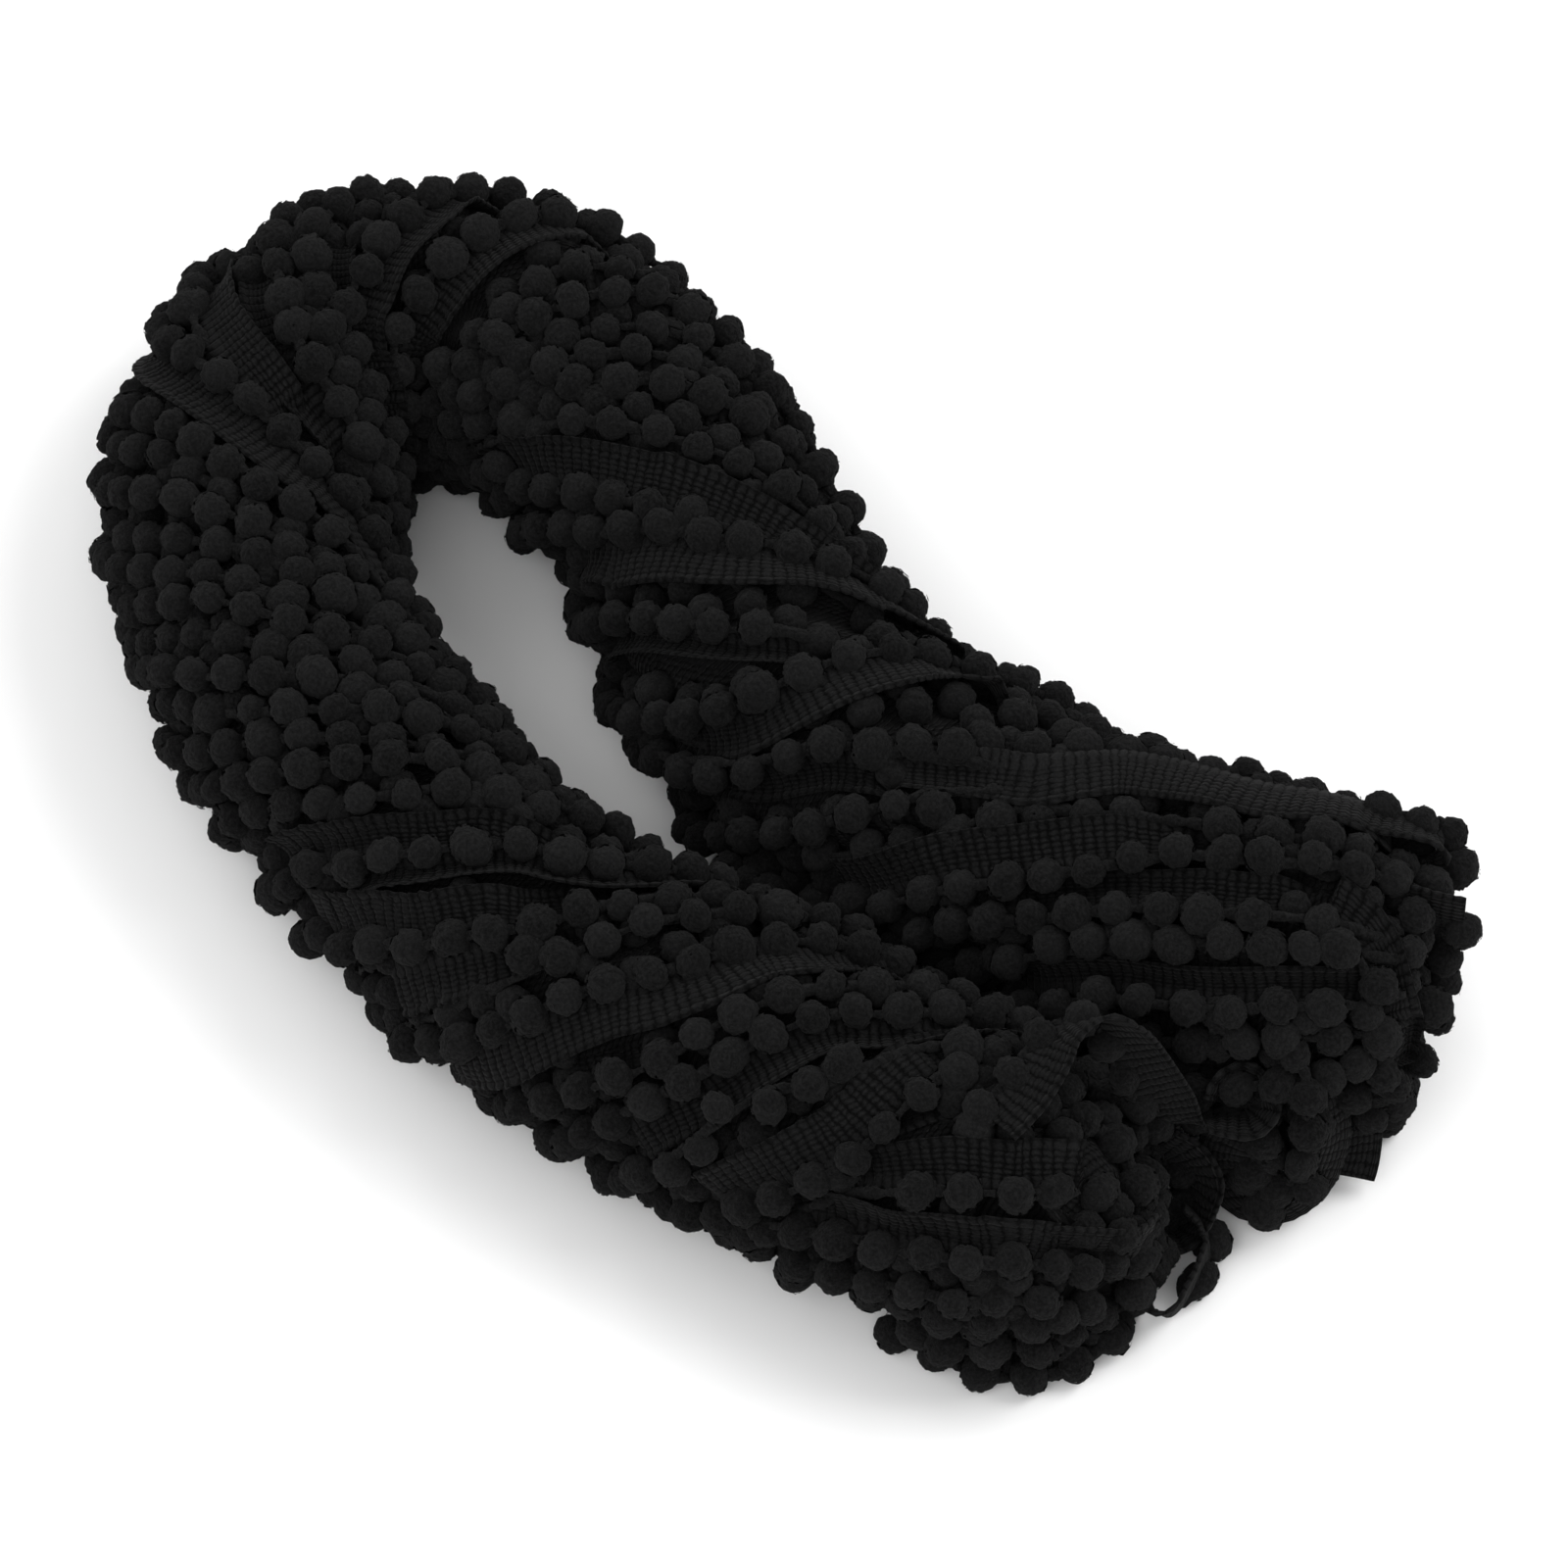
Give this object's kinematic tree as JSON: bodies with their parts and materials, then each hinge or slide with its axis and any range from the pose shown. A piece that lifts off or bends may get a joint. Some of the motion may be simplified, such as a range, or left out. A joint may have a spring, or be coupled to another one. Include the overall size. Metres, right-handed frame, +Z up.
{
  "type": "pompom fringe trim",
  "caption": "Length of woven tape with a row of pompoms along one edge, wound into a twisted hank and laid in a hairpin; sewn on as an edging for cushions, curtains and clothes.",
  "frame": {"origin": "on the surface the hank lies on, under the middle of the whole part's box", "axes": "+X along the hank from its bend to its two looped ends, +Y from the near leg to the far leg, +Z up"},
  "size_m": [0.4234, 0.2322, 0.0949],
  "materials": {
    "trim_yarn": "dull black dyed polyester yarn, tape and pompoms wound together",
    "tape_yarn": "dull black woven tape with crosswise ribs",
    "pompom_yarn": "black brushed felt-like fibre, soft and matt"
  },
  "bodies": {
    "root": {"hank": "trim_yarn", "arch_tape": "tape_yarn", "arch_pompoms": "pompom_yarn", "curl_tape": "tape_yarn", "curl_pompoms": "pompom_yarn", "cut_end_tape": "tape_yarn", "cut_end_pompoms": "pompom_yarn", "slack_loop_tape": "tape_yarn", "slack_loop_pompoms": "pompom_yarn"}
  },
  "joints": []
}
